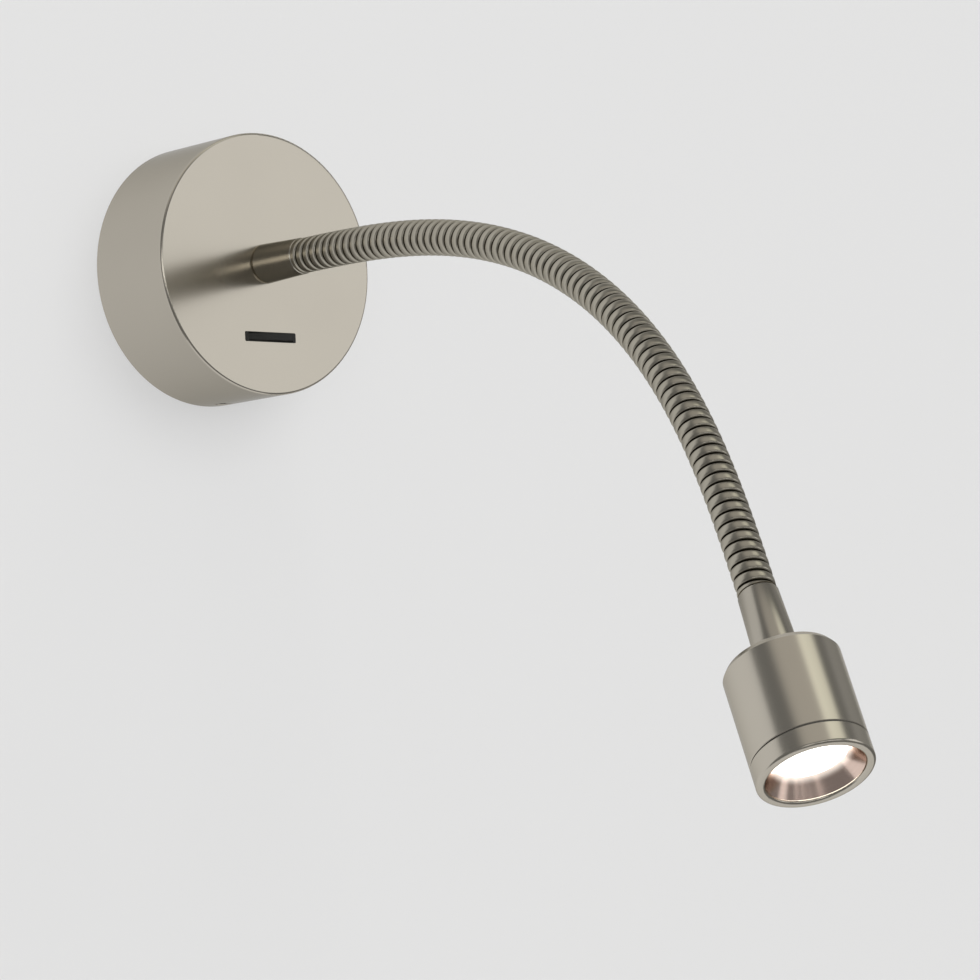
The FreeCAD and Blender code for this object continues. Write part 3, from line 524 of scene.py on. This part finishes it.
# %% The ferrules
NIPPLE_GRIP_R = 4.95 * MM
BASE_DEPTH, BASE_FERRULE, HEAD_FERRULE = 40 * MM, 22 * MM, 28.5 * MM
MOUTH_R, BASE_FOOT_R, HEAD_FOOT_R = 6.8 * MM, 7.5 * MM, 7.6 * MM
FOOT_POINTS, COLUMNS = 7, 160


def cone_outline(foot_r, length, foot_round, bevel, bevel_length):
    """Bore, rounded foot, straight flank, bevelled mouth, and the seat of the hose. The
    foot is a quarter circle: radius - round * (1 - sin a), round * (1 - cos a)."""
    a = np.linspace(0, np.pi / 2, FOOT_POINTS)
    foot = np.stack([foot_r - foot_round * (1 - np.sin(a)), foot_round * (1 - np.cos(a))], -1)
    slope = (foot_r - MOUTH_R) / length
    mouth = [(MOUTH_R + slope * bevel_length, length - bevel_length),
             (MOUTH_R - bevel, length), (NIPPLE_GRIP_R, length)]
    return np.vstack([[(NIPPLE_GRIP_R, 0.0)], foot, mouth])


def turned_piece(name, outline, foot, axis, body, node):
    """point = foot + radius * (cos a * side + sin a * other) + height * axis for each
    (radius, height) of a closed outline, a from 0 to 2 pi."""
    side = np.cross(axis, across)
    other = np.cross(axis, side)
    angle = np.linspace(0, 2 * np.pi, COLUMNS, endpoint=False)[None, :, None]
    radius, height = outline.T[:, :, None, None]
    points = foot + radius * (np.cos(angle) * side + np.sin(angle) * other) + height * axis
    piece = finish_mesh(name, grid_mesh(name, points, wrap_rows=True))
    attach(piece, body)
    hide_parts(node)
    return piece


hose_end, _ = hose_line(np.array([TURNS]))
head_top = hose_end[0] + HEAD_FERRULE * head_axis
base_cone = turned_piece(
    "base_cone", cone_outline(BASE_FOOT_R, BASE_FERRULE, 1.0 * MM, 0.3 * MM, 0.3 * MM),
    BASE_DEPTH * OUT, OUT, "base", "base_ferrule")
head_cone = turned_piece(
    "head_cone", cone_outline(HEAD_FOOT_R, HEAD_FERRULE - FERRULE_STEP_BACK, 0.4 * MM,
                              0.5 * MM, 1.0 * MM),
    head_top, -head_axis, "head", "head_ferrule")
print("head top at", np.round(head_top / MM, 1), "mm")

# %% [markdown]
# A finish is a few nodes that feed the Principled shader, and some steps come back in every
# one: a new material, noise on the piece's own coordinates, a bump. They could be written
# out each time. As helpers they leave only what makes one finish differ from another.

# %% Helpers for finishes
EDGE_TINT = (0.64, 0.63, 0.60)
dressed = set()


def shell(name, metallic=1.0):
    """A new material with its Principled shader and a first wire."""
    paint = bpy.data.materials.new(name)
    paint.use_nodes = True
    shader = paint.node_tree.nodes["Principled BSDF"]
    shader.inputs["Metallic"].default_value = metallic
    if metallic:        # plate turns darker, not whiter, where it is seen along the surface
        shader.inputs["Specular Tint"].default_value = (*EDGE_TINT, 1)
    return paint, shader, Wire(paint.node_tree)


def lift(shader, height, strength, depth):
    """Feed the normal with a bump, depth metres deep at strength 1."""
    height.node("ShaderNodeBump", None, {"Strength": strength, "Distance": depth,
                                         "Height": height}).link(shader.inputs["Normal"])


def drift(start, scale, detail=3.0):
    """Noise from 0 to 1 on the piece's own coordinates, with scale cells to the metre."""
    place = start.node("ShaderNodeTexCoord", output="Object")
    return start.node("ShaderNodeTexNoise", None, {"Vector": place, "Scale": scale,
                                                   "Detail": detail})


def measured_from(start, origin):
    """Object coordinates less those of a point."""
    place = start.node("ShaderNodeTexCoord", output="Object")
    return start.node("ShaderNodeVectorMath", {"operation": "SUBTRACT"},
                      {0: place, 1: tuple(origin)})


def dress(material, *names):
    """Put one material on CAD nodes by name."""
    for name in names:
        mesh = nodes[name].data
        mesh.materials.clear()
        mesh.materials.append(material)
        dressed.add(name)


print("nodes to dress:", len(nodes))

# %% [markdown]
# Satin nickel is a warm grey metal with a soft, even blur. One roughness number gives the
# blur, but real turned parts also show faint rings. Rings so fine would flicker as geometry,
# so they go into the bump and a little into the roughness. They are read from two numbers,
# the distance from the piece's axis and the height along it, which gives rings on a face
# and on a side alike.

# %% Satin nickel
NICKEL = (0.586, 0.546, 0.47)
DULL_NICKEL = tuple(0.86 * c for c in NICKEL)
SATIN_CLOUDS = 30.0         # to the metre
RING_STRENGTH = 0.35


def turned_rings(start, origin, axis, spacing):
    """A wire from 0 to 1 that changes only with the radius and the height on an axis:
    noise read at (radius, height, 0) / spacing, radius ** 2 = length ** 2 - height ** 2."""
    local = measured_from(start, origin)
    height = local.dot(tuple(axis))
    length = start.node("ShaderNodeVectorMath", {"operation": "LENGTH"}, {0: local}, "Value")
    radius = start.math("SQRT", start.math("MAXIMUM", length * length - height * height, 0.0))
    spot = start.node("ShaderNodeCombineXYZ", None, {0: radius / spacing, 1: height / spacing})
    return start.node("ShaderNodeTexNoise", None, {"Vector": spot, "Scale": 1.0, "Detail": 3.0,
                                                   "Roughness": 0.65})


def satin_nickel(name, origin, axis, spacing, roughness, depth, colour=NICKEL):
    """Tone = mean of rings and clouds, from 0.93 to 1.05 of the colour; the rings change
    the roughness by a tenth to each side and lift a shallow bump of that depth."""
    paint, shader, start = shell(name)
    rings = turned_rings(start, origin, axis, spacing)
    tone = rings * 0.5 + drift(start, SATIN_CLOUDS, 2.0) * 0.5
    tone.shades(colour, 0.93, 1.05).link(shader.inputs["Base Color"])
    (roughness * (0.9 + rings * 0.2)).link(shader.inputs["Roughness"])
    lift(shader, rings, RING_STRENGTH, depth)
    return paint


wall_middle = np.zeros(3)
head_middle = box_middle("head_washer")
dress(satin_nickel("base_nickel", wall_middle, OUT, 0.25 * MM, 0.19, 0.003 * MM),
      "base_cover")
dress(satin_nickel("head_nickel", head_middle, head_axis, 0.25 * MM, 0.22, 0.004 * MM),
      "head_housing", "bezel_ring")
dress(satin_nickel("cover_screw_nickel", wall_middle, OUT, 0.3 * MM, 0.24, 0.003 * MM,
                   DULL_NICKEL), "cover_screws")
dress(satin_nickel("sink_metal", head_middle, head_axis, 0.4 * MM, 0.34, 0.012 * MM,
                   (0.66, 0.66, 0.66)), "heat_sink")
base_cone.data.materials.append(satin_nickel(
    "base_dull_nickel", wall_middle, OUT, 0.2 * MM, 0.22, 0.003 * MM, DULL_NICKEL))
head_cone.data.materials.append(satin_nickel(
    "head_dull_nickel", head_middle, head_axis, 0.15 * MM, 0.26, 0.002 * MM, DULL_NICKEL))
print("turned finishes on", sorted(dressed), "and the two cones")

# %% [markdown]
# The hose's finish follows its strip: smoother metal on the crown with fine drawing lines
# along the strip, and painted shade that darkens the groove between turns. A pattern on
# plain coordinates would slide off the turns where the arm bends, so both are read from the
# place that each point of the strip was given when it was wound.

# %% Wound nickel
# Painted shade: the nearly black colour given to the groove between turns.
GROOVE_SHADE = (0.055, 0.046, 0.034)
HOSE_NICKEL = (0.47, 0.44, 0.37)
LINES_ACROSS, LINES_ALONG = 9.0, 2.0    # noise cells to half a band, and to a turn


def wound_nickel():
    """Colour and roughness from the height over the groove: painted shade turns the colour
    nearly black down in the groove. Lines from noise read at (9 * offset, 2 * turn): they are
    long along the strip and short across it."""
    paint, shader, start = shell("wound_nickel")
    strip = start.node("ShaderNodeAttribute", {"attribute_name": "strip"}, output="Vector")
    height = start.node("ShaderNodeSeparateXYZ", None, {"Vector": strip}, "Z")
    stretched = start.node("ShaderNodeVectorMath", {"operation": "MULTIPLY"},
                           {0: strip, 1: (LINES_ACROSS, LINES_ALONG, 0.0)})
    lines = start.node("ShaderNodeTexNoise", None, {"Vector": stretched, "Scale": 1.0,
                                                    "Detail": 3.0})
    # Painted shade darkens the colour down in the groove between turns.
    clear_of_groove_shade = height.smooth(0.05, 0.7)
    clear_of_groove_shade.mix((*GROOVE_SHADE, 1), lines.shades(HOSE_NICKEL, 0.93, 1.06)).link(
        shader.inputs["Base Color"])
    (0.5 - clear_of_groove_shade * 0.24 + lines * 0.06).link(shader.inputs["Roughness"])
    lift(shader, lines, 0.3, 0.01 * MM)
    return paint


hose_nickel = wound_nickel()
for piece in hose:
    piece.data.materials.append(hose_nickel)
print("wound nickel on", len(hose), "lengths")

# %% [markdown]
# Plastic and rubber come out of a mould whose walls were etched, so they carry a fine even
# grain. Two sizes of noise give it: a fine one for the grain in the bump, and a broad one
# for a slow drift of colour and gloss. One helper makes them all, because only the colour,
# the gloss and the depth of the grain differ.

# %% Moulded finishes
BROAD_CELLS, FINE_CELLS = 60.0, 3500.0      # to the metre


def moulded(name, colour, roughness, grain, *names):
    """Colour runs from 0.9 to 1.05 with the broad noise, roughness from 0.85 to 1.15 with
    both, and grain is the height in metres of the fine noise."""
    paint, shader, start = shell(name, 0)
    broad, fine = drift(start, BROAD_CELLS), drift(start, FINE_CELLS)
    broad.shades(colour, 0.9, 1.05).link(shader.inputs["Base Color"])
    (roughness * (0.85 + broad * 0.15 + fine * 0.15)).link(shader.inputs["Roughness"])
    lift(shader, fine, 0.5, grain)
    dress(paint, *names)


moulded("switch_black", (0.009, 0.009, 0.007), 0.5, 0.02 * MM,
        "switch_housing", "switch_rocker")
moulded("driver_plastic", (0.66, 0.66, 0.64), 0.5, 0.03 * MM, "driver_case", "driver_lid")
moulded("terminal_plastic", (0.72, 0.71, 0.66), 0.35, 0.01 * MM, "terminal_block")
moulded("holder_plastic", (0.74, 0.74, 0.72), 0.3, 0.01 * MM, "lens_holder")
moulded("grommet_rubber", (0.022, 0.022, 0.022), 0.62, 0.03 * MM, "cable_grommet")
moulded("seal_rubber", (0.11, 0.105, 0.095), 0.6, 0.03 * MM, "bezel_seal")
moulded("pad_silicone", (0.36, 0.40, 0.43), 0.7, 0.05 * MM, "thermal_pad")
moulded("lead_sheath", (0.62, 0.62, 0.60), 0.55, 0.02 * MM,
        *[name for name in nodes if name.startswith("lead_")])
moulded("board_mask", (0.78, 0.78, 0.76), 0.28, 0.008 * MM, "light_board")
print(len(dressed), "nodes dressed so far")

# %% [markdown]
# Zinc plate over steel shows small crystals, each a little lighter or darker, with broad
# clouds, and fine scratches. One noise can't give both soft clouds and crisp crystals, so
# the cells of a Voronoi pattern make the crystals. Brass screws and blades use the same
# finish in their own colour.

# %% Plated finishes
PLATE_CLOUDS = 45.0                         # to the metre
SCRATCH_CELLS = (160.0, 2000.0, 2000.0)     # to the metre, so scratches are long in X
CELL_TO_TONE = (0.6, 0.4, 0.0)              # makes one number of a cell's random colour


def plated(name, colour, roughness, crystal, *names):
    """Tone = 0.4 * a crystal's random value + 0.6 * clouds. Scratches are noise stretched
    along X, and they lift a shallow bump and the roughness. Crystal is a cell's size."""
    paint, shader, start = shell(name)
    place = start.node("ShaderNodeTexCoord", output="Object")
    cell = start.node("ShaderNodeTexVoronoi", None, {"Vector": place, "Scale": 1 / crystal},
                      "Color")
    spot = cell.dot(CELL_TO_TONE) * 0.4 + drift(start, PLATE_CLOUDS) * 0.6
    spot.shades(colour, 0.86, 1.06).link(shader.inputs["Base Color"])
    stretched = start.node("ShaderNodeVectorMath", {"operation": "MULTIPLY"},
                           {0: place, 1: SCRATCH_CELLS})
    scratch = start.node("ShaderNodeTexNoise", None, {"Vector": stretched, "Scale": 1.0,
                                                      "Detail": 2.0})
    (roughness * (0.8 + scratch * 0.25 + spot * 0.15)).link(shader.inputs["Roughness"])
    lift(shader, scratch, 0.25, 0.01 * MM)
    dress(paint, *names)


plated("zinc_sheet", (0.58, 0.59, 0.60), 0.36, 2.2 * MM, "mounting_plate")
plated("zinc_thread", (0.55, 0.55, 0.55), 0.32, 0.5 * MM, "driver_screws", "board_screws",
       "base_nipple", "base_washer", "base_nut", "head_nipple", "head_washer", "head_nut")
plated("brass_turned", (0.66, 0.51, 0.24), 0.3, 0.6 * MM, "earth_screw", "terminal_screws",
       "switch_blades")
print(len(dressed), "nodes dressed so far")

# %% [markdown]
# The light itself: a yellow phosphor dome, a frosted lens that glows evenly and a polished
# cone round it. A real lamp behind the lens would light them too, but slowly and with much
# grain, so the parts glow by themselves. The cone is bright right beside the lens, where the
# frost throws light at it, and that glow fades outwards. It is read from the height along
# the head.

# %% The lit parts
LENS_FRONT, CONE_DEPTH = 34.7 * MM, 6.0 * MM       # from the head's top, and along its axis
LENS_GLOW, PHOSPHOR_GLOW, CONE_GLOW = 3.0, 1.5, 0.9


def glow(shader, strength, colour=None):
    """Emission of one strength, with its colour unless a wire gives that."""
    shader.inputs["Emission Strength"].default_value = strength
    if colour:
        shader.inputs["Emission Color"].default_value = (*colour, 1)


def frosted_lens():
    """An even warm white glow; the frost is fine noise in the colour and the roughness."""
    paint, shader, start = shell("frosted_lens", 0)
    fine = drift(start, 2500.0)
    fine.mix((0.84, 0.83, 0.80, 1), (0.92, 0.91, 0.88, 1)).link(shader.inputs["Base Color"])
    (0.25 + fine * 0.15).link(shader.inputs["Roughness"])
    glow(shader, LENS_GLOW, (1.0, 0.96, 0.91))
    dress(paint, "lens")


def phosphor():
    """Yellow that drifts a little with fine noise, and a weaker, warmer glow."""
    paint, shader, start = shell("phosphor", 0)
    drift(start, 900.0).mix((0.82, 0.66, 0.16, 1), (0.90, 0.76, 0.26, 1)).link(
        shader.inputs["Base Color"])
    shader.inputs["Roughness"].default_value = 0.45
    glow(shader, PHOSPHOR_GLOW, (1.0, 0.86, 0.55))
    dress(paint, "light_emitter")


def polished_cone():
    """Glow = (smooth fall from the lens to half way out) ** 1.5 * (0.5 + blotches)."""
    paint, shader, start = shell("polished_cone")
    rings = turned_rings(start, head_middle, head_axis, 0.5 * MM)
    blotch = drift(start, 160.0, 1.0)
    out = (measured_from(start, head_top).dot(tuple(head_axis)) - LENS_FRONT) / CONE_DEPTH
    near_lens = out.smooth(0.5, -0.1) ** 1.5
    rings.mix((0.80, 0.60, 0.51, 1), (0.90, 0.72, 0.63, 1)).link(shader.inputs["Base Color"])
    (0.12 + blotch * 0.12).link(shader.inputs["Roughness"])
    (near_lens * (0.5 + blotch)).mix((0, 0, 0, 1), (1.0, 0.88, 0.78, 1)).link(
        shader.inputs["Emission Color"])
    glow(shader, CONE_GLOW)
    lift(shader, rings, 0.2, 0.01 * MM)
    dress(paint, "reflector")


frosted_lens()
phosphor()
polished_cone()
stood_for = {name for name in nodes if name.startswith("gooseneck_")}
stood_for |= {"base_ferrule", "head_ferrule"}
print("nodes still plain:", sorted(set(nodes) - dressed - stood_for))
